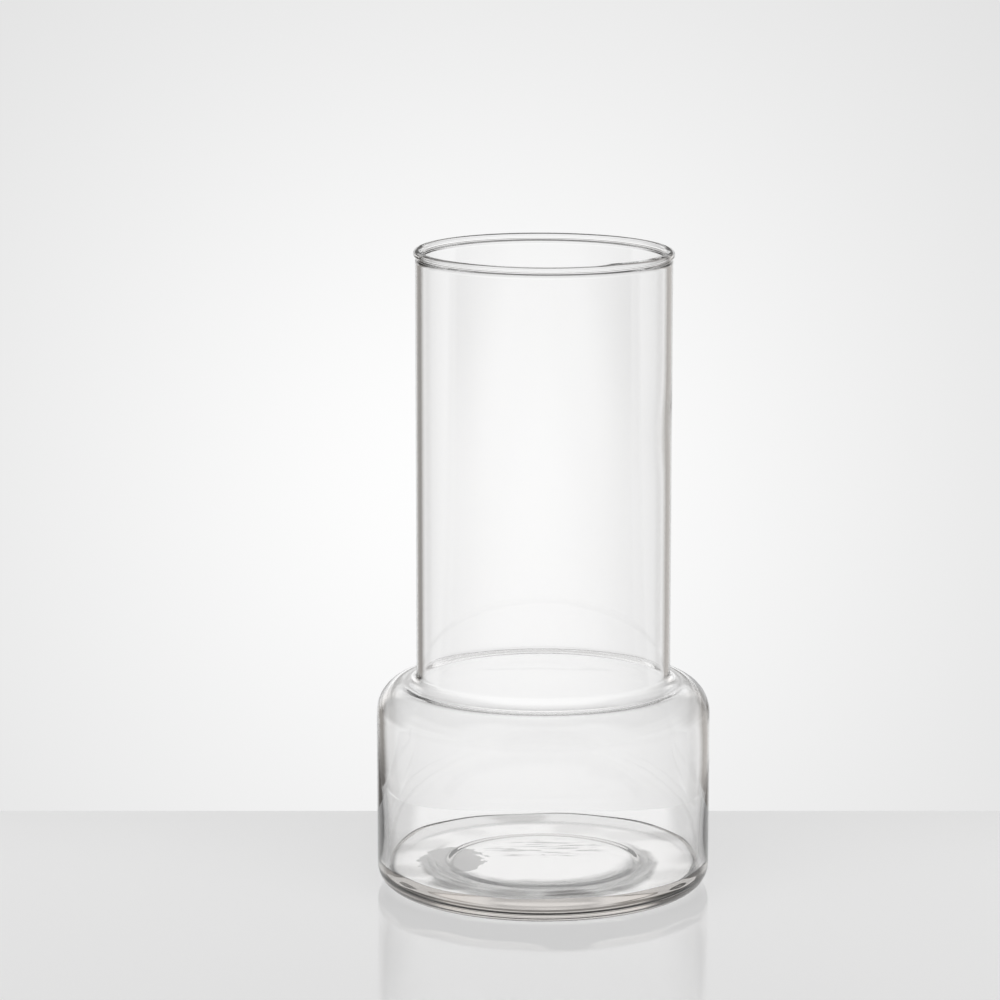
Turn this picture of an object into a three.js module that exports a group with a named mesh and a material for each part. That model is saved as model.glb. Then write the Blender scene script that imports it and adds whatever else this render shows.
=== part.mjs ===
// A clear blown-glass vase: a tall straight neck on a wider, low body, with a thick base and a rounded rim.
// The glass is one piece in real life. Here it is held as five zones that meet on level planes.
// Millimetres, +Z up. The origin is the centre of the foot, on the surface that the vase stands on.
import * as THREE from "three";

// Overall
const TOTAL_HEIGHT = 250;
const BODY_RADIUS = 65;
const BODY_WALL = 2.2;
const NECK_RADIUS = 49.45;
const NECK_WALL = 2.15;

// Base: a thick disc with a rounded heel. It rests on a flat ring round a very shallow hollow.
const BASE_THICKNESS = 10;
const HEEL_WIDTH = 7;
const HEEL_RISE = 8;
const HOLLOW_RADIUS = 39.3;
const HOLLOW_DEPTH = 0.6;
const HOLLOW_SLOPE = 4;
const FLOOR_FILLET = 1;

// Shoulder: a quarter ellipse from the body wall up to a level ledge, then a small fillet into the neck.
// The glass is thinnest at the ledge.
const WALL_TOP = 68;
const SHOULDER_WIDTH = 11;
const SHOULDER_RISE = 12.6;
const SHOULDER_WALL = 1.4;
const NECK_FILLET = 3.6;
const NECK_FILLET_INNER = 5.5;
const NECK_BOTTOM = 85;

// Rim bead: an oval roll, a little wider than the neck wall on both sides
const BEAD_HALF_WIDTH = 1.7;
const BEAD_HALF_HEIGHT = 1.6;

// Fineness of the round surfaces
const SEGMENTS_ROUND = 64;
const ARC_DIVISIONS = 3;

const QUARTER = Math.PI / 2;
const BODY_INNER = BODY_RADIUS - BODY_WALL;
const NECK_INNER = NECK_RADIUS - NECK_WALL;
const SHOULDER_TOP = WALL_TOP + SHOULDER_RISE;
const SHOULDER_CENTRE = BODY_RADIUS - SHOULDER_WIDTH;
const BEAD_CENTRE = NECK_RADIUS - NECK_WALL / 2;
const BEAD_MIDDLE = TOTAL_HEIGHT - BEAD_HALF_HEIGHT;
const BEAD_JOIN = Math.acos(NECK_WALL / 2 / BEAD_HALF_WIDTH);
const NECK_TOP = BEAD_MIDDLE - BEAD_HALF_HEIGHT * Math.sin(BEAD_JOIN);

function clearGlass() {
  return new THREE.MeshStandardMaterial({
    color: 0xe9eeeb,
    roughness: 0.04,
    metalness: 0,
    transparent: true,
    opacity: 0.35,
  });
}

// Turns an outline of radius against height round the Z axis.
function turned(name, outline) {
  const geometry = new THREE.LatheGeometry(outline.getPoints(ARC_DIVISIONS), SEGMENTS_ROUND);
  geometry.rotateX(QUARTER);
  const mesh = new THREE.Mesh(geometry, clearGlass());
  mesh.name = name;
  return mesh;
}

// The hollow is flat, and its edge slopes down to the rest ring in a soft S.
function base() {
  const slopeStart = HOLLOW_RADIUS - HOLLOW_SLOPE;
  const slopeMiddle = HOLLOW_RADIUS - HOLLOW_SLOPE / 2;
  const outline = new THREE.Path();
  outline.moveTo(0, HOLLOW_DEPTH);
  outline.lineTo(slopeStart, HOLLOW_DEPTH);
  outline.bezierCurveTo(slopeMiddle, HOLLOW_DEPTH, slopeMiddle, 0, HOLLOW_RADIUS, 0);
  outline.absellipse(BODY_RADIUS - HEEL_WIDTH, HEEL_RISE, HEEL_WIDTH, HEEL_RISE, -QUARTER, 0, false, 0);
  outline.lineTo(BODY_RADIUS, BASE_THICKNESS);
  outline.lineTo(0, BASE_THICKNESS);
  return turned("base", outline);
}

function bodyWall() {
  const filletCentre = new THREE.Vector2(BODY_INNER - FLOOR_FILLET, BASE_THICKNESS + FLOOR_FILLET);
  const outline = new THREE.Path();
  outline.moveTo(BODY_RADIUS, BASE_THICKNESS);
  outline.lineTo(BODY_RADIUS, WALL_TOP);
  outline.lineTo(BODY_INNER, WALL_TOP);
  outline.absarc(filletCentre.x, filletCentre.y, FLOOR_FILLET, 0, -QUARTER, true);
  outline.closePath();
  return turned("body_wall", outline);
}

// The inner surface follows the outer one, and the wall thins from the body to the ledge.
function shoulder() {
  const innerRise = SHOULDER_RISE - SHOULDER_WALL;
  const outerFillet = new THREE.Vector2(NECK_RADIUS + NECK_FILLET, SHOULDER_TOP + NECK_FILLET);
  const innerFillet = new THREE.Vector2(NECK_INNER + NECK_FILLET_INNER, WALL_TOP + innerRise + NECK_FILLET_INNER);
  const outline = new THREE.Path();
  outline.absellipse(SHOULDER_CENTRE, WALL_TOP, SHOULDER_WIDTH, SHOULDER_RISE, 0, QUARTER, false, 0);
  outline.absarc(outerFillet.x, outerFillet.y, NECK_FILLET, -QUARTER, -2 * QUARTER, true);
  outline.lineTo(NECK_RADIUS, NECK_BOTTOM);
  outline.lineTo(NECK_INNER, NECK_BOTTOM);
  outline.absarc(innerFillet.x, innerFillet.y, NECK_FILLET_INNER, 2 * QUARTER, 3 * QUARTER);
  outline.absellipse(SHOULDER_CENTRE, WALL_TOP, BODY_INNER - SHOULDER_CENTRE, innerRise, QUARTER, 0, true, 0);
  outline.closePath();
  return turned("shoulder", outline);
}

function neckWall() {
  const outline = new THREE.Path();
  outline.moveTo(NECK_RADIUS, NECK_BOTTOM);
  outline.lineTo(NECK_RADIUS, NECK_TOP);
  outline.lineTo(NECK_INNER, NECK_TOP);
  outline.lineTo(NECK_INNER, NECK_BOTTOM);
  outline.closePath();
  return turned("neck_wall", outline);
}

function rimBead() {
  const outline = new THREE.Path();
  outline.absellipse(
    BEAD_CENTRE, BEAD_MIDDLE, BEAD_HALF_WIDTH, BEAD_HALF_HEIGHT, -BEAD_JOIN, Math.PI + BEAD_JOIN, false, 0,
  );
  outline.closePath();
  return turned("rim_bead", outline);
}

const vase = new THREE.Group();
vase.add(base(), bodyWall(), shoulder(), neckWall(), rimBead());

export default vase;
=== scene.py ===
"""A clear blown-glass vase on a pale table in soft studio light."""
import math

import bpy
import numpy as np
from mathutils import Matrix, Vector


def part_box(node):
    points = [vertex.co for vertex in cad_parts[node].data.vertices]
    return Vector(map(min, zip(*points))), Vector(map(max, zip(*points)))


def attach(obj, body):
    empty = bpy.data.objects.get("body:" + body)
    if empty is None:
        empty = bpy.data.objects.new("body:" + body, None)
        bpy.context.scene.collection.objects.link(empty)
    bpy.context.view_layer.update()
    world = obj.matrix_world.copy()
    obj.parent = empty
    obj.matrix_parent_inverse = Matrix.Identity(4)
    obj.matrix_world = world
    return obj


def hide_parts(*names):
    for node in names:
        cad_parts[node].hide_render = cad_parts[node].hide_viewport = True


MM = 0.001
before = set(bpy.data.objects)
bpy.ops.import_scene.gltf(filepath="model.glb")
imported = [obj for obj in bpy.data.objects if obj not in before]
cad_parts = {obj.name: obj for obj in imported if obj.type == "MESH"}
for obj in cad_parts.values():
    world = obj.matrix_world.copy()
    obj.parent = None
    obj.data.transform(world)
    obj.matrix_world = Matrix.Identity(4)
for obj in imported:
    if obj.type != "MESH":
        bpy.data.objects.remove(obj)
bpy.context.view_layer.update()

# Heights and radii of the frame, in millimetres
BODY_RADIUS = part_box("body_wall")[1].x / MM
BASE_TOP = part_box("base")[1].z / MM
WALL_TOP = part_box("body_wall")[1].z / MM
NECK_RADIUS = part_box("neck_wall")[1].x / MM
TOTAL_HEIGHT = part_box("rim_bead")[1].z / MM

# The glass, in millimetres. A pair is (across, up), and a name that ends in IN is the inner surface's.
BODY_WALL = 2.2
NECK_WALL = 2.15
HEEL = (7.0, 8.0)
RECESS_RADIUS = 39.3
RECESS_DEPTH = 0.6
RECESS_BLEND = 4.0
FLOOR_FILLET = (0.4, 0.15)
SHOULDER_WIDTH = 11.0
SHOULDER_RISE = 12.6
SHOULDER_WALL = 1.4
SHOULDER_WIDTH_IN = 10.7
SHOULDER_FULLNESS = 0.98
NECK_FILLET = 3.6
NECK_FILLET_IN = 5.5
BEAD_HALF_WIDTH = 1.7
BEAD_HALF_HEIGHT = 1.6
BEAD_OFFSET = 0.1
BEAD_NECKING = 0.5

# How far the rim lies below a level one: on average, more at the near side, more at the right side.
# The drop starts this far below the top.
RIM_DROP = (0.39, 0.375, 0.2)
RIM_DROP_BAND = 25.0
# The bead's top is raised along one stretch of the near side, by degrees round: where the stretch starts
# and is full, and where it ends and is gone
RIM_KINK = (23.0, 32.0, 55.0, 88.0)
RIM_KINK_RISE = 0.65
# Thicker places of the wall: degrees round from the near side, height, how wide in degrees, how high,
# and the extra thickness
WALL_WAVES = [
    (-88, 10, 50, 30, 1.2),
    (88, 66, 40, 13, 0.2),
    (88, 10, 50, 26, 0.9),
    (84, 180, 25, 12, 0.25),
]
# The ledge is thicker at both sides than at the near and far ones: its inside lies lower there,
# and a little lower at the left than at the right
LEDGE_SAG = 0.62
LEDGE_SAG_LEFT = 0.12
LEDGE_SAG_START = (58.0, 79.0)
LEDGE_SAG_END = (86.0, 110.0)
# The floor rises and falls a little along its edge: how much, over which radii, up to which height in the
# wall, and the waves that make it, as (waves in one round, shift in radians, share)
FLOOR_RIPPLE = 0.35
FLOOR_RIPPLE_RADIUS = (50.0, 61.0)
FLOOR_RIPPLE_HEIGHT = (11.0, 25.0)
FLOOR_RIPPLE_WAVES = [(5, 0.7, 0.6), (11, 0.0, 0.4)]

COLUMNS = 320
RIM_ROWS = 44
GLASS_IOR = 1.51
GLASS_TINT = (0.40, 0.34, 0.28)
GLASS_DENSITY = 5.5

# The table, in metres. Its top is a hair below the foot, so that the two don't share a plane.
TABLE_SIDE = 3.0
TABLE_NEAR = 4.0
TABLE_BACK = 0.103
TABLE_TOP = -0.0001
TABLE_DEPTH = 0.03
# DARK is the base colour of the painted shade under the vase, and of the panel where it is unlit
PALE = (0.5, 0.5, 0.5, 1)
DARK = (0.03, 0.027, 0.024, 1)
TABLE_ROUGHNESS = 0.06
TABLE_GLOSS = 0.12
# How much the table glows from front to back: stops of (Y, strength, warmth)
TABLE_GLOW = [(-4, 0.35, 0), (-0.24, 0.35, 0), (-0.165, 0.445, 0), (1, 0.445, 0)]
# Far to the left and right the glow fades to this share of it
TABLE_FADE = (0.8, 1.5)
TABLE_FAR = 0.25
# A brighter stretch between the camera and the vase: where it is full and gone to each side,
# and where it starts, is full, starts to end and is gone along Y
FRONT_GLOW = 0.15
FRONT_SIDE = (0.12, 0.60)
FRONT_BAND = (-1.60, -0.60, -0.22, -0.165)
# A pool of more glow under the vase, round in front, that runs straight on to the back edge:
# where it is full and gone
POOL_GLOW = 0.20
POOL_SIDE = (0.056, 0.066)

# Painted shade in the glow under the vase, brown-grey: a lune between two ellipses, a jagged patch and a few
# strokes.
# Each one is (X, Y, half width, half depth).
PAINTED_SHADE_LUNE = (-0.0020, -0.006, 0.0455, 0.049)
PAINTED_SHADE_LUNE_HOLE = (-0.003, 0.012, 0.0380, 0.0385)
PAINTED_SHADE_PATCH = (-0.036, 0.001, 0.013, 0.017)
PAINTED_SHADE_STROKES = (0.002, 0.019, 0.023, 0.012)
# Where each one is gone and where it is full, as shares of its ellipse
LUNE_EDGE = (1.06, 0.98)
LUNE_HOLE_EDGE = (0.94, 1.12)
PATCH_EDGE = (1.03, 0.97)
STROKES_EDGE = (1.2, 0.7)
# A noise makes the edges stray: (grains in a metre, detail, size)
SOFT_EDGE = (55.0, 2.0, 0.010)
JAGGED_EDGE = (190.0, 5.0, 0.016)
# The lune has faint streaks round the vase's axis: grains in a metre outwards and in a radian round,
# and the noise levels where it is weakest and full, with both strengths
LUNE_GRAIN = (420.0, 1.6)
LUNE_STREAKS = (0.62, 0.42, 0.75, 1.0)
# The strokes are streaks to the side, turned a little: grains in a metre along each axis, the turn in
# radians, and the noise levels where they are gone and full
STROKES_GRAIN = (60.0, 420.0, 1.0)
STROKES_TURN = 0.25
STROKES_STREAKS = (0.50, 0.58)
STREAK_DETAIL = 3.0
PATCH_SHADE = 0.8
STROKES_SHADE = 0.75

# A narrow lit panel behind the table. It starts just below the table's level and slopes down to the back.
# Its glow fades out to the sides.
PANEL_BACK = 0.175
PANEL_GAP = 0.001
PANEL_SLOPE = 0.30
PANEL_GLOW = 0.80
PANEL_SIDE = (0.080, 0.125)

# The light, by direction in degrees. Azimuth 0 is along +Y and positive towards +X.
# The backdrop is brightest in one direction and falls off slowly round it.
GLOW_AZIMUTH = -0.35
GLOW_ELEVATION = -10.55
GLOW_WIDTH = 0.082
GLOW_BRIGHT = 0.994
GLOW_FALL = 0.155
# Where the backdrop ends
FRAME_SIDE = (9, 15)
FRAME_TOP = (-3, 2)
FRAME_BOTTOM = (-26, -19)
# The studio beyond the backdrop, by azimuth: level with it, below it and above it.
# Stops are (angle, brightness, warmth).
AROUND = [
    (-180, 0.80, 0.0), (-110, 0.90, 0.0), (-60, 0.92, 0.0), (-45, 0.85, 0.0), (-34, 0.33, 0.04),
    (-22, 0.30, 0.06), (-12, 0.95, 0.0), (12, 0.95, 0.0), (22, 0.50, 0.05), (34, 0.45, 0.04),
    (45, 0.85, 0.0), (60, 0.92, 0.0), (110, 0.90, 0.0), (180, 0.80, 0.0),
]
AROUND_BELOW = [
    (-180, 0.80, 0.0), (-110, 0.90, 0.0), (-60, 0.92, 0.0), (-45, 0.50, 0.0), (-36, 0.12, 0.04),
    (-17, 0.12, 0.06), (-8, 0.95, 0.0), (8, 0.95, 0.0), (17, 0.25, 0.05), (36, 0.30, 0.04),
    (45, 0.60, 0.0), (60, 0.92, 0.0), (110, 0.90, 0.0), (180, 0.80, 0.0),
]
AROUND_ABOVE = [
    (-180, 1.0, 0.0), (-110, 1.0, 0.0), (-75, 0.80, 0.0), (-62, 0.12, 0.04), (-34, 0.12, 0.04),
    (-25, 1.05, 0.02), (-12, 1.1, 0.0), (12, 1.1, 0.0), (25, 1.05, 0.02), (34, 0.35, 0.02),
    (62, 0.35, 0.04), (75, 0.80, 0.0), (110, 1.0, 0.0), (180, 1.0, 0.0),
]
BELOW_LEVEL = (-14, -19)
ABOVE_LEVEL = (-7.5, -5.5)
# How much of that light is left, by elevation
HEIGHT = [
    (-90, 0.12, 0.0), (-44, 0.10, 0.0), (-34, 0.95, 0.0), (-27, 1.0, 0.0), (6, 1.0, 0.0), (8, 0.3, 0.02),
    (13.5, 0.3, 0.02), (15.5, 1.0, 0.0), (19, 1.0, 0.0), (25, 0.12, 0.02), (60, 0.06, 0.0), (90, 0.06, 0.0),
]
# The same on the camera's side, where a large soft light hangs, and the azimuths where that side starts
HEIGHT_FRONT = [
    (-90, 0.12, 0.0), (-44, 0.10, 0.0), (-34, 0.95, 0.0), (-27, 1.0, 0.0), (55, 1.0, 0.0), (70, 0.30, 0.02),
    (90, 0.20, 0.0),
]
FRONT_LIGHT = (100, 130)

# The camera: its place in metres, how far it looks down in radians, and how far it sees in metres
CAMERA_PLACE = (-0.016883, -1.600875, 0.458159)
CAMERA_DOWN = 0.189
CAMERA_SENSOR = 36
CAMERA_LENS = 151.55
CAMERA_REACH = 20


def line(start, end, count):
    """Points from start up to, but not including, end, closer together near both ends."""
    share = (1 - np.cos(np.pi * np.arange(count) / count))[:, None] / 2
    return np.array(start) * (1 - share) + np.array(end) * share


def arc(centre, radii, start, end, count, power=1):
    """Points of an ellipse arc from start to end, in degrees, without the last one.
    A power below 1 makes it fuller."""
    angle = np.radians(start + (end - start) * np.arange(count) / count)
    across, up = (np.sign(f(angle)) * np.abs(f(angle)) ** power for f in (np.cos, np.sin))
    return np.stack([centre[0] + radii[0] * across, centre[1] + radii[1] * up], 1)


def smooth(value, start, end):
    """0 up to start, 1 from end on, and an even S between them."""
    share = np.clip((value - start) / (end - start), 0, 1)
    return share * share * (3 - 2 * share)


def step(start, end, count):
    """Points of a smooth S from start to end, level at both ends, without the last one."""
    share = np.arange(count) / count
    height = smooth(share, 0, 1)
    return np.stack([start[0] + (end[0] - start[0]) * share, start[1] + (end[1] - start[1]) * height], 1)


def rim(bead, outer, inner):
    """An oval bead that swells smoothly out of the neck wall, from the outside over the top to the inside."""
    angle = np.linspace(-90, 270, RIM_ROWS + 1)[:-1]
    tube = arc(bead, (BEAD_HALF_WIDTH, BEAD_HALF_HEIGHT), -90, 270, RIM_ROWS)
    low = np.clip((bead[1] - tube[:, 1]) / BEAD_HALF_HEIGHT, 0, 1)
    side = np.where(angle < 90, outer, inner)
    blend = low ** 3
    radius = tube[:, 0] * (1 - blend) + side * blend
    height = tube[:, 1] - BEAD_NECKING * blend
    return np.stack([radius, height], 1)


def outline():
    """The glass from the axis underneath, up the outside, over the rim and down to the middle of the floor.
    The last number of each line and arc is how many rows of the mesh it takes."""
    body_inner = BODY_RADIUS - BODY_WALL
    neck_inner = NECK_RADIUS - NECK_WALL
    ledge = WALL_TOP + SHOULDER_RISE
    ledge_in = ledge - SHOULDER_WALL
    crest = BODY_RADIUS - SHOULDER_WIDTH
    crest_in = BODY_RADIUS - SHOULDER_WIDTH_IN
    corner = (NECK_RADIUS + NECK_FILLET, ledge + NECK_FILLET)
    corner_in = (neck_inner + NECK_FILLET_IN, ledge_in + NECK_FILLET_IN)
    bead = (NECK_RADIUS - NECK_WALL / 2 + BEAD_OFFSET, TOTAL_HEIGHT - BEAD_HALF_HEIGHT)
    bead_foot = bead[1] - BEAD_HALF_HEIGHT - BEAD_NECKING
    recess_inner = RECESS_RADIUS - RECESS_BLEND
    shoulder_in = (body_inner - crest_in, SHOULDER_RISE - SHOULDER_WALL)
    floor_edge = (body_inner - FLOOR_FILLET[0], BASE_TOP + FLOOR_FILLET[1])
    parts = [
        ("under", line((0, RECESS_DEPTH), (recess_inner, RECESS_DEPTH), 10)),
        ("under", step((recess_inner, RECESS_DEPTH), (RECESS_RADIUS, 0), 12)),
        ("under", line((RECESS_RADIUS, 0), (BODY_RADIUS - HEEL[0], 0), 8)),
        ("heel", arc((BODY_RADIUS - HEEL[0], HEEL[1]), HEEL, -90, 0, 18)),
        ("body", line((BODY_RADIUS, HEEL[1]), (BODY_RADIUS, WALL_TOP), 16)),
        ("shoulder", arc((crest, WALL_TOP), (SHOULDER_WIDTH, SHOULDER_RISE), 0, 90, 24)),
        ("shoulder", line((crest, ledge), (corner[0], ledge), 3)),
        ("shoulder", arc(corner, (NECK_FILLET, NECK_FILLET), 270, 180, 14)),
        ("neck", line((NECK_RADIUS, corner[1]), (NECK_RADIUS, bead_foot), 20)),
        ("rim", rim(bead, NECK_RADIUS, neck_inner)),
        ("neck_in", line((neck_inner, bead_foot), (neck_inner, corner_in[1]), 32)),
        ("shoulder_in", arc(corner_in, (NECK_FILLET_IN, NECK_FILLET_IN), 180, 270, 16)),
        ("shoulder_in", arc((crest_in, WALL_TOP), shoulder_in, 90, 0, 24, SHOULDER_FULLNESS)),
        ("body_in", line((body_inner, WALL_TOP), (body_inner, floor_edge[1]), 20)),
        ("floor", arc(floor_edge, FLOOR_FILLET, 0, -90, 10)),
        ("floor", line((floor_edge[0], BASE_TOP), (0, BASE_TOP), 16)),
        ("floor", np.array([(0, BASE_TOP)])),
    ]
    points = np.concatenate([p for _, p in parts])
    zones = np.concatenate([[name] * len(p) for name, p in parts])
    return points[:, 0], points[:, 1], zones


def uneven(r, z, turn, zone):
    """The grid with the unevenness of blown glass.
    turn is in degrees from the near side, positive to the right."""
    side = np.radians(turn)
    drop = RIM_DROP[0] + RIM_DROP[1] * np.cos(side) + RIM_DROP[2] * np.sin(side)
    z = z - drop * smooth(z, TOTAL_HEIGHT - RIM_DROP_BAND, TOTAL_HEIGHT)
    kink = smooth(turn, *RIM_KINK[:2]) * (1 - smooth(turn, *RIM_KINK[2:]))
    bead_middle = TOTAL_HEIGHT - BEAD_HALF_HEIGHT
    z = z + RIM_KINK_RISE * kink * np.clip((z - bead_middle) / BEAD_HALF_HEIGHT + 1, 0, 2) / 2
    inside = np.char.endswith(zone, "_in") | (zone == "floor")
    for at_turn, at_height, wide, high, extra in WALL_WAVES:
        apart = (turn - at_turn + 180) % 360 - 180
        r = r - extra * np.exp(-(apart / wide) ** 2 - ((z - at_height) / high) ** 2) * inside
    sag = (LEDGE_SAG - LEDGE_SAG_LEFT * np.sin(side)) * np.sin(side) ** 2
    z = z - sag * smooth(z, *LEDGE_SAG_START) * (1 - smooth(z, *LEDGE_SAG_END)) * inside
    ripple = sum(share * np.sin(count * side + shift) for count, shift, share in FLOOR_RIPPLE_WAVES)
    edge = smooth(r, *FLOOR_RIPPLE_RADIUS) * (1 - smooth(z, *FLOOR_RIPPLE_HEIGHT))
    z = z + FLOOR_RIPPLE * ripple * edge * inside
    return r, z


def glass_mesh():
    """The outline turned round the axis, made uneven, and closed by a fan of triangles at each end."""
    radius, height, zones = outline()
    turn = np.arange(COLUMNS) * 360 / COLUMNS - 180
    r = radius[1:-1, None] * np.ones(COLUMNS)
    z = height[1:-1, None] * np.ones(COLUMNS)
    r, z = uneven(r, z, turn, zones[1:-1, None])
    side = np.radians(turn)
    ring = np.stack([r * np.sin(side), -r * np.cos(side), z], 2).reshape(-1, 3)
    points = np.concatenate([ring, [(0, 0, height[0])], [(0, 0, height[-1])]]) * MM
    rows = len(radius) - 2
    grid = np.arange(rows * COLUMNS).reshape(rows, COLUMNS)
    along = np.roll(grid, -1, 1)
    quads = np.stack([grid[:-1], along[:-1], along[1:], grid[1:]], 2).reshape(-1, 4)
    under, floor = rows * COLUMNS, rows * COLUMNS + 1
    faces = quads.tolist()
    faces += [(under, b, a) for a, b in zip(grid[0].tolist(), along[0].tolist())]
    faces += [(floor, a, b) for a, b in zip(grid[-1].tolist(), along[-1].tolist())]
    mesh = bpy.data.meshes.new("vase_glass")
    mesh.from_pydata(points.tolist(), [], faces)
    mesh.validate()
    mesh.polygons.foreach_set("use_smooth", [True] * len(mesh.polygons))
    mesh.update()
    return mesh


def glass_material():
    """Clear glass with a very faint grey-brown absorption."""
    material = bpy.data.materials.new("clear_glass")
    material.use_nodes = True
    nodes, links = material.node_tree.nodes, material.node_tree.links
    shader = nodes["Principled BSDF"]
    shader.inputs["Base Color"].default_value = (1, 1, 1, 1)
    shader.inputs["Transmission Weight"].default_value = 1.0
    shader.inputs["Roughness"].default_value = 0.0
    shader.inputs["IOR"].default_value = GLASS_IOR
    body = nodes.new("ShaderNodeVolumeAbsorption")
    body.inputs["Color"].default_value = GLASS_TINT + (1,)
    body.inputs["Density"].default_value = GLASS_DENSITY
    links.new(body.outputs["Volume"], nodes["Material Output"].inputs["Volume"])
    return material


class Graph:
    """Short ways to add shader nodes to one node tree. Every input may be a socket or a plain value."""

    def __init__(self, tree):
        self.nodes, self.links = tree.nodes, tree.links

    def put(self, socket, value):
        if isinstance(value, bpy.types.NodeSocket):
            self.links.new(value, socket)
        else:
            socket.default_value = value

    def coordinates(self, kind):
        """The X, Y and Z sockets of one texture coordinate, and the coordinate itself."""
        whole = self.nodes.new("ShaderNodeTexCoord").outputs[kind]
        split = self.nodes.new("ShaderNodeSeparateXYZ")
        self.links.new(whole, split.inputs[0])
        return (*split.outputs, whole)

    def calc(self, operation, *values):
        node = self.nodes.new("ShaderNodeMath")
        node.operation = operation
        for socket, value in zip(node.inputs, values):
            self.put(socket, value)
        return node.outputs[0]

    def distance(self, a, b):
        node = self.nodes.new("ShaderNodeVectorMath")
        node.operation = "DISTANCE"
        self.put(node.inputs[0], a)
        self.put(node.inputs[1], b)
        return node.outputs["Value"]

    def join(self, *parts):
        node = self.nodes.new("ShaderNodeCombineXYZ")
        for socket, part in zip(node.inputs, parts):
            self.put(socket, part)
        return node.outputs[0]

    def noise(self, place, scale, detail):
        node = self.nodes.new("ShaderNodeTexNoise")
        self.put(node.inputs["Vector"], place)
        self.put(node.inputs["Scale"], scale)
        self.put(node.inputs["Detail"], detail)
        return node.outputs[0]

    def stretch(self, place, scale, turn):
        node = self.nodes.new("ShaderNodeMapping")
        self.put(node.inputs["Vector"], place)
        node.inputs["Scale"].default_value = scale
        node.inputs["Rotation"].default_value = (0, 0, turn)
        return node.outputs[0]

    def fade(self, value, start, end, low=0.0, high=1.0):
        """low on start's side, high on end's side, and an even S between the two."""
        node = self.nodes.new("ShaderNodeMapRange")
        node.interpolation_type = "SMOOTHSTEP"
        levels = (low, high) if start < end else (high, low)
        names = ("Value", "From Min", "From Max", "To Min", "To Max")
        for name, part in zip(names, (value, *sorted((start, end)), *levels)):
            self.put(node.inputs[name], part)
        return node.outputs["Result"]

    def ramp(self, value, stops):
        """Colours by value, smooth between stops of (value, brightness, warmth)."""
        low, high = stops[0][0], stops[-1][0]
        node = self.nodes.new("ShaderNodeValToRGB")
        node.color_ramp.interpolation = "EASE"
        elements = node.color_ramp.elements
        while len(elements) < len(stops):
            elements.new(0.5)
        for element, (at, bright, warm) in zip(elements, stops):
            element.position = (at - low) / (high - low)
            element.color = (bright * (1 + warm), bright, bright * (1 - warm), 1)
        self.put(node.inputs[0], self.calc("DIVIDE", self.calc("SUBTRACT", value, low), high - low))
        return node.outputs[0]

    def mix(self, kind, share, a, b):
        node = self.nodes.new("ShaderNodeMix")
        node.data_type = "RGBA"
        node.blend_type = kind
        self.put(node.inputs["Factor"], share)
        colours = [s for s in node.inputs if s.type == "RGBA"]
        self.put(colours[0], a)
        self.put(colours[1], b)
        return [s for s in node.outputs if s.type == "RGBA"][0]


def slab(name, corners, depth):
    """A flat, glossy, glowing stage object under its four top corners, given as (x, y, z) in order."""
    mesh = bpy.data.meshes.new(name)
    points = corners + [(x, y, z - depth) for x, y, z in corners]
    sides = [(i, i + 4, (i + 1) % 4 + 4, (i + 1) % 4) for i in range(4)]
    mesh.from_pydata(points, [], [(0, 1, 2, 3), (7, 6, 5, 4)] + sides)
    mesh.update()
    thing = bpy.data.objects.new(name, mesh)
    bpy.context.scene.collection.objects.link(thing)
    material = bpy.data.materials.new(name)
    material.use_nodes = True
    mesh.materials.append(material)
    shader = material.node_tree.nodes["Principled BSDF"]
    shader.inputs["Roughness"].default_value = TABLE_ROUGHNESS
    shader.inputs["Specular IOR Level"].default_value = TABLE_GLOSS
    shader.inputs["Emission Color"].default_value = (1, 1, 1, 1)
    return Graph(material.node_tree), shader


def table_glow(graph, x, y):
    """How much the table glows at each point, without the painted shade."""
    aside = graph.calc("ABSOLUTE", x)
    from_axis = graph.distance(graph.join(x, graph.calc("MINIMUM", y, 0.0), 0.0), (0, 0, 0))
    pool = graph.fade(from_axis, POOL_SIDE[1], POOL_SIDE[0])
    glow = graph.calc("MULTIPLY_ADD", pool, POOL_GLOW, graph.ramp(y, TABLE_GLOW))
    start, full, ending, gone = FRONT_BAND
    band = graph.calc("MULTIPLY", graph.fade(y, start, full), graph.fade(y, gone, ending))
    band = graph.calc("MULTIPLY", band, graph.fade(aside, FRONT_SIDE[1], FRONT_SIDE[0]))
    glow = graph.calc("MULTIPLY_ADD", band, FRONT_GLOW, glow)
    return graph.calc("MULTIPLY", glow, graph.fade(aside, *TABLE_FADE, 1.0, TABLE_FAR))


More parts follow.
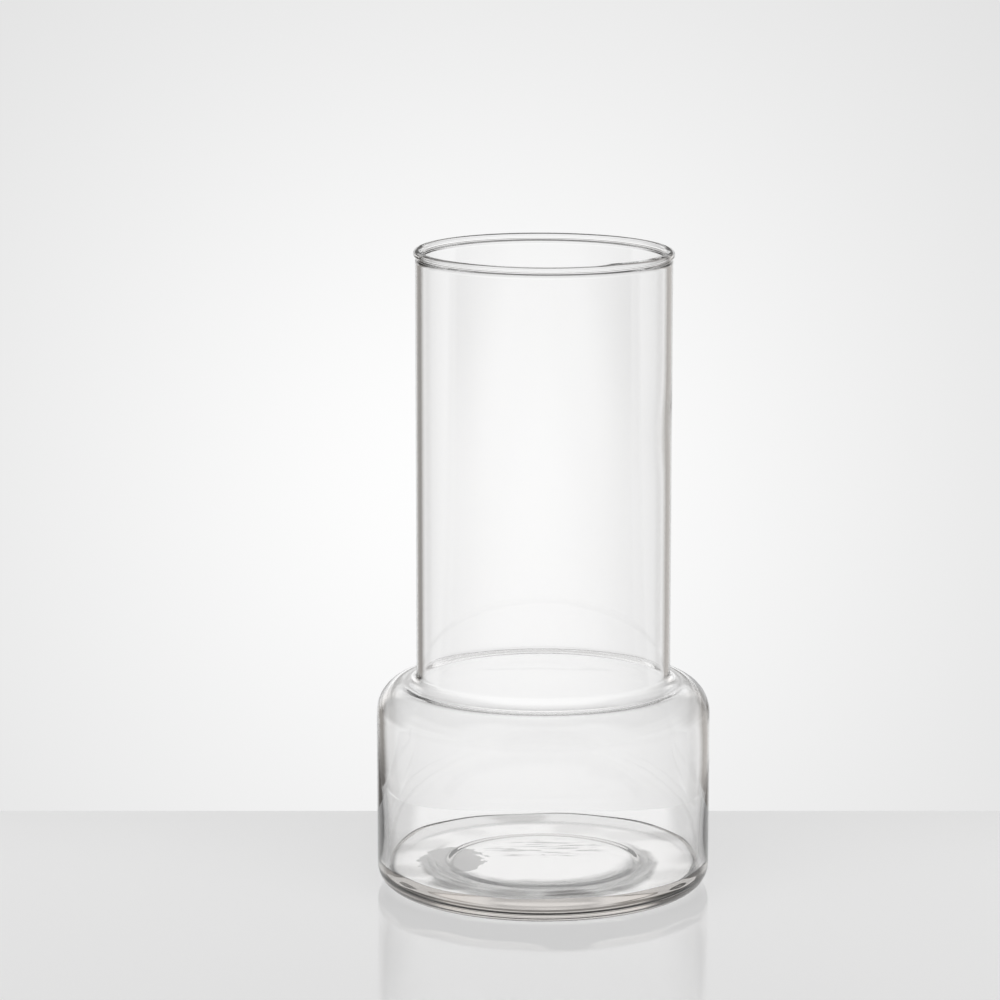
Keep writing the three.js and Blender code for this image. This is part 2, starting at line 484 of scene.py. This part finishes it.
def table_painted_shade(graph, x, y, place):
    """How strong the painted shade is at each point of the table, from 0 to 1."""

    def stray(grains, detail, size):
        return graph.calc("MULTIPLY", graph.calc("SUBTRACT", graph.noise(place, grains, detail), 0.5), size)

    def squared(value, wave, middle, half):
        share = graph.calc("DIVIDE", graph.calc("SUBTRACT", graph.calc("ADD", value, wave), middle), half)
        return graph.calc("POWER", share, 2.0)

    def reach(shape, wave):
        """0 at the middle of an ellipse, 1 on its edge."""
        across = squared(x, wave, shape[0], shape[2])
        along = squared(y, wave, shape[1], shape[3])
        return graph.calc("SQRT", graph.calc("ADD", across, along))

    outwards = graph.calc("MULTIPLY", graph.distance(place, (0, 0, 0)), LUNE_GRAIN[0])
    round_axis = graph.calc("MULTIPLY", graph.calc("ARCTAN2", y, x), LUNE_GRAIN[1])
    rings = graph.noise(graph.join(outwards, round_axis, 0.0), 1.0, STREAK_DETAIL)
    soft = stray(*SOFT_EDGE)
    jagged = stray(*JAGGED_EDGE)
    lune = graph.fade(reach(PAINTED_SHADE_LUNE, soft), *LUNE_EDGE)
    lune = graph.calc("MULTIPLY", lune, graph.fade(reach(PAINTED_SHADE_LUNE_HOLE, soft), *LUNE_HOLE_EDGE))
    lune = graph.calc("MULTIPLY", lune, graph.fade(rings, *LUNE_STREAKS))
    patch = graph.calc("MULTIPLY", graph.fade(reach(PAINTED_SHADE_PATCH, jagged), *PATCH_EDGE), PATCH_SHADE)
    streaks = graph.noise(graph.stretch(place, STROKES_GRAIN, STROKES_TURN), 1.0, STREAK_DETAIL)
    strokes = graph.fade(reach(PAINTED_SHADE_STROKES, jagged), *STROKES_EDGE)
    strokes = graph.calc("MULTIPLY", strokes, graph.fade(streaks, *STROKES_STREAKS))
    strokes = graph.calc("MULTIPLY", strokes, STROKES_SHADE)
    return graph.calc("MAXIMUM", graph.calc("MAXIMUM", lune, patch), strokes)


def table_stage():
    """A glossy pale table that glows, as translucent acrylic lit from below does, with painted shade under
    the vase and its back edge just behind the vase."""
    corners = [
        (-TABLE_SIDE, -TABLE_NEAR, TABLE_TOP), (TABLE_SIDE, -TABLE_NEAR, TABLE_TOP),
        (TABLE_SIDE, TABLE_BACK, TABLE_TOP), (-TABLE_SIDE, TABLE_BACK, TABLE_TOP),
    ]
    graph, shader = slab("table", corners, TABLE_DEPTH)
    x, y, _, place = graph.coordinates("Object")
    # Painted shade under the vase: a lune, a patch and strokes that dim the glow and darken the base colour
    painted_shade = table_painted_shade(graph, x, y, place)
    clear = graph.calc("SUBTRACT", 1.0, painted_shade)
    glow = graph.calc("MULTIPLY", table_glow(graph, x, y), clear)
    graph.put(shader.inputs["Emission Strength"], glow)
    graph.put(shader.inputs["Base Color"], graph.mix("MIX", painted_shade, PALE, DARK))


def panel_stage():
    """The lit panel behind the table, which the base of the vase is seen against."""
    full, side = PANEL_SIDE
    top = TABLE_TOP - PANEL_GAP
    low = top - PANEL_SLOPE * (PANEL_BACK - TABLE_BACK)
    corners = [
        (-side, TABLE_BACK, top), (side, TABLE_BACK, top), (side, PANEL_BACK, low), (-side, PANEL_BACK, low),
    ]
    graph, shader = slab("panel", corners, TABLE_DEPTH)
    x, _, _, _ = graph.coordinates("Object")
    lit = graph.fade(graph.calc("ABSOLUTE", x), side, full)
    graph.put(shader.inputs["Emission Strength"], graph.calc("MULTIPLY", lit, PANEL_GLOW))
    graph.put(shader.inputs["Base Color"], graph.mix("MIX", lit, DARK, PALE))


def studio_world():
    """The light all round, by direction: a lit backdrop, dark gaps beside it, side and front panels, and a
    dim ceiling."""
    world = bpy.data.worlds.new("studio")
    bpy.context.scene.world = world
    world.use_nodes = True
    graph = Graph(world.node_tree)
    across, forward, up, direction = graph.coordinates("Generated")
    azimuth = graph.calc("DEGREES", graph.calc("ARCTAN2", across, forward))
    elevation = graph.calc("DEGREES", graph.calc("ARCSINE", up))
    from_middle = graph.calc("ABSOLUTE", azimuth)

    turn, tilt = math.radians(GLOW_AZIMUTH), math.radians(GLOW_ELEVATION)
    centre = (math.sin(turn) * math.cos(tilt), math.cos(turn) * math.cos(tilt), math.sin(tilt))
    spread = graph.calc("POWER", graph.calc("DIVIDE", graph.distance(direction, centre), GLOW_WIDTH), 2.0)
    falling = graph.calc("POWER", graph.calc("ADD", spread, 1.0), GLOW_FALL)
    backdrop = graph.calc("DIVIDE", GLOW_BRIGHT, falling)

    around = graph.ramp(azimuth, AROUND)
    around = graph.mix("MIX", graph.fade(elevation, *BELOW_LEVEL), around, graph.ramp(azimuth, AROUND_BELOW))
    around = graph.mix("MIX", graph.fade(elevation, *ABOVE_LEVEL), around, graph.ramp(azimuth, AROUND_ABOVE))
    outside = graph.fade(from_middle, *FRAME_SIDE)
    outside = graph.calc("MAXIMUM", outside, graph.fade(elevation, *FRAME_TOP))
    outside = graph.calc("MAXIMUM", outside, graph.fade(elevation, FRAME_BOTTOM[1], FRAME_BOTTOM[0]))
    front = graph.fade(from_middle, *FRONT_LIGHT)
    height = graph.mix("MIX", front, graph.ramp(elevation, HEIGHT), graph.ramp(elevation, HEIGHT_FRONT))
    light = graph.mix("MULTIPLY", 1.0, graph.mix("MIX", outside, backdrop, around), height)
    graph.put(world.node_tree.nodes["Background"].inputs["Color"], light)


def camera():
    data = bpy.data.cameras.new("camera")
    data.sensor_width = CAMERA_SENSOR
    data.lens = CAMERA_LENS
    data.clip_end = CAMERA_REACH
    cam = bpy.data.objects.new("camera", data)
    bpy.context.scene.collection.objects.link(cam)
    cam.location = CAMERA_PLACE
    cam.rotation_euler = (math.radians(90) - CAMERA_DOWN, 0, 0)
    bpy.context.scene.camera = cam


bpy.context.scene.view_settings.view_transform = "Standard"
camera()
vase = bpy.data.objects.new("vase_glass", glass_mesh())
bpy.context.scene.collection.objects.link(vase)
vase.data.materials.append(glass_material())
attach(vase, "root")
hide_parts("base", "body_wall", "shoulder", "neck_wall", "rim_bead")
table_stage()
panel_stage()
studio_world()
